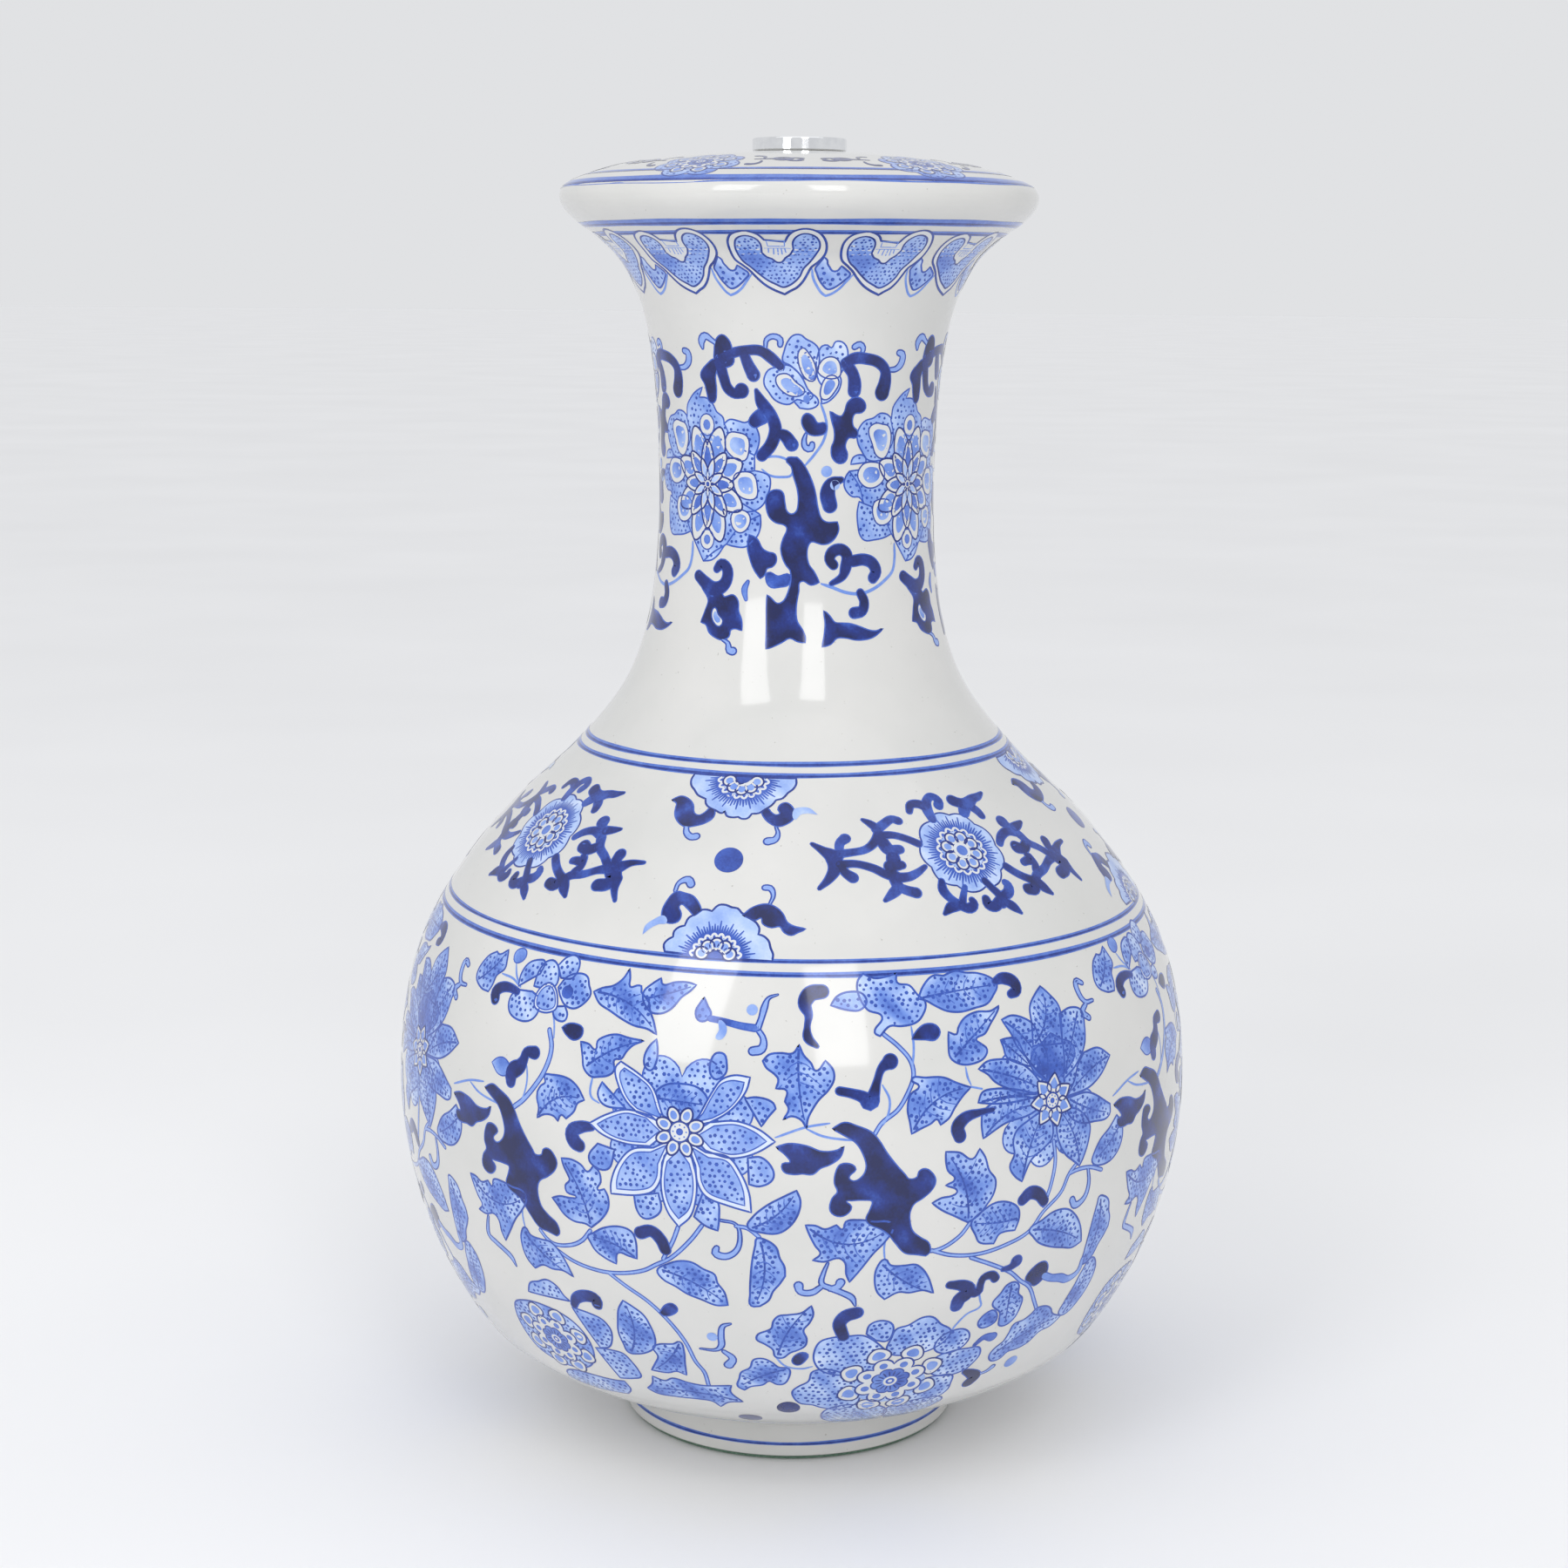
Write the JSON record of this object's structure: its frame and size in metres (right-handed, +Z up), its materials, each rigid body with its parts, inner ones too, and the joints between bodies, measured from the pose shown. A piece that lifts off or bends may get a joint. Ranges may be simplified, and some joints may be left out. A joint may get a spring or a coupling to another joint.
{
  "type": "porcelain vase lamp body",
  "caption": "Blue and white porcelain vase with a round belly, slim neck and closed domed top, clamped on a hollow rod between a chrome collar and a steel base plate.",
  "frame": {"origin": "centre of the foot, on the surface that the vase stands on", "axes": "+Z up along the axis of the vase, the cord outlet at +Y, the side the picture shows faces -Y"},
  "size_m": [0.2482, 0.2482, 0.4014],
  "materials": {
    "porcelain": "gloss clear glaze over underglaze blue painting",
    "chrome": "polished",
    "rubber": "matt",
    "steel": "zinc plated",
    "brass": "machined",
    "rod_zinc": "yellow zinc plated, threaded",
    "grommet": "moulded, satin",
    "felt": "wool felt"
  },
  "bodies": {
    "root": {"vase_body": "porcelain", "top_collar": "chrome", "collar_seal": "rubber", "top_lock_washer": "steel", "top_nut": "brass", "lamp_rod": "rod_zinc", "base_seal": "rubber", "base_plate": "steel", "base_lock_washer": "steel", "base_nut": "brass", "cord_grommet": "grommet", "foot_felt": "felt"}
  },
  "joints": []
}
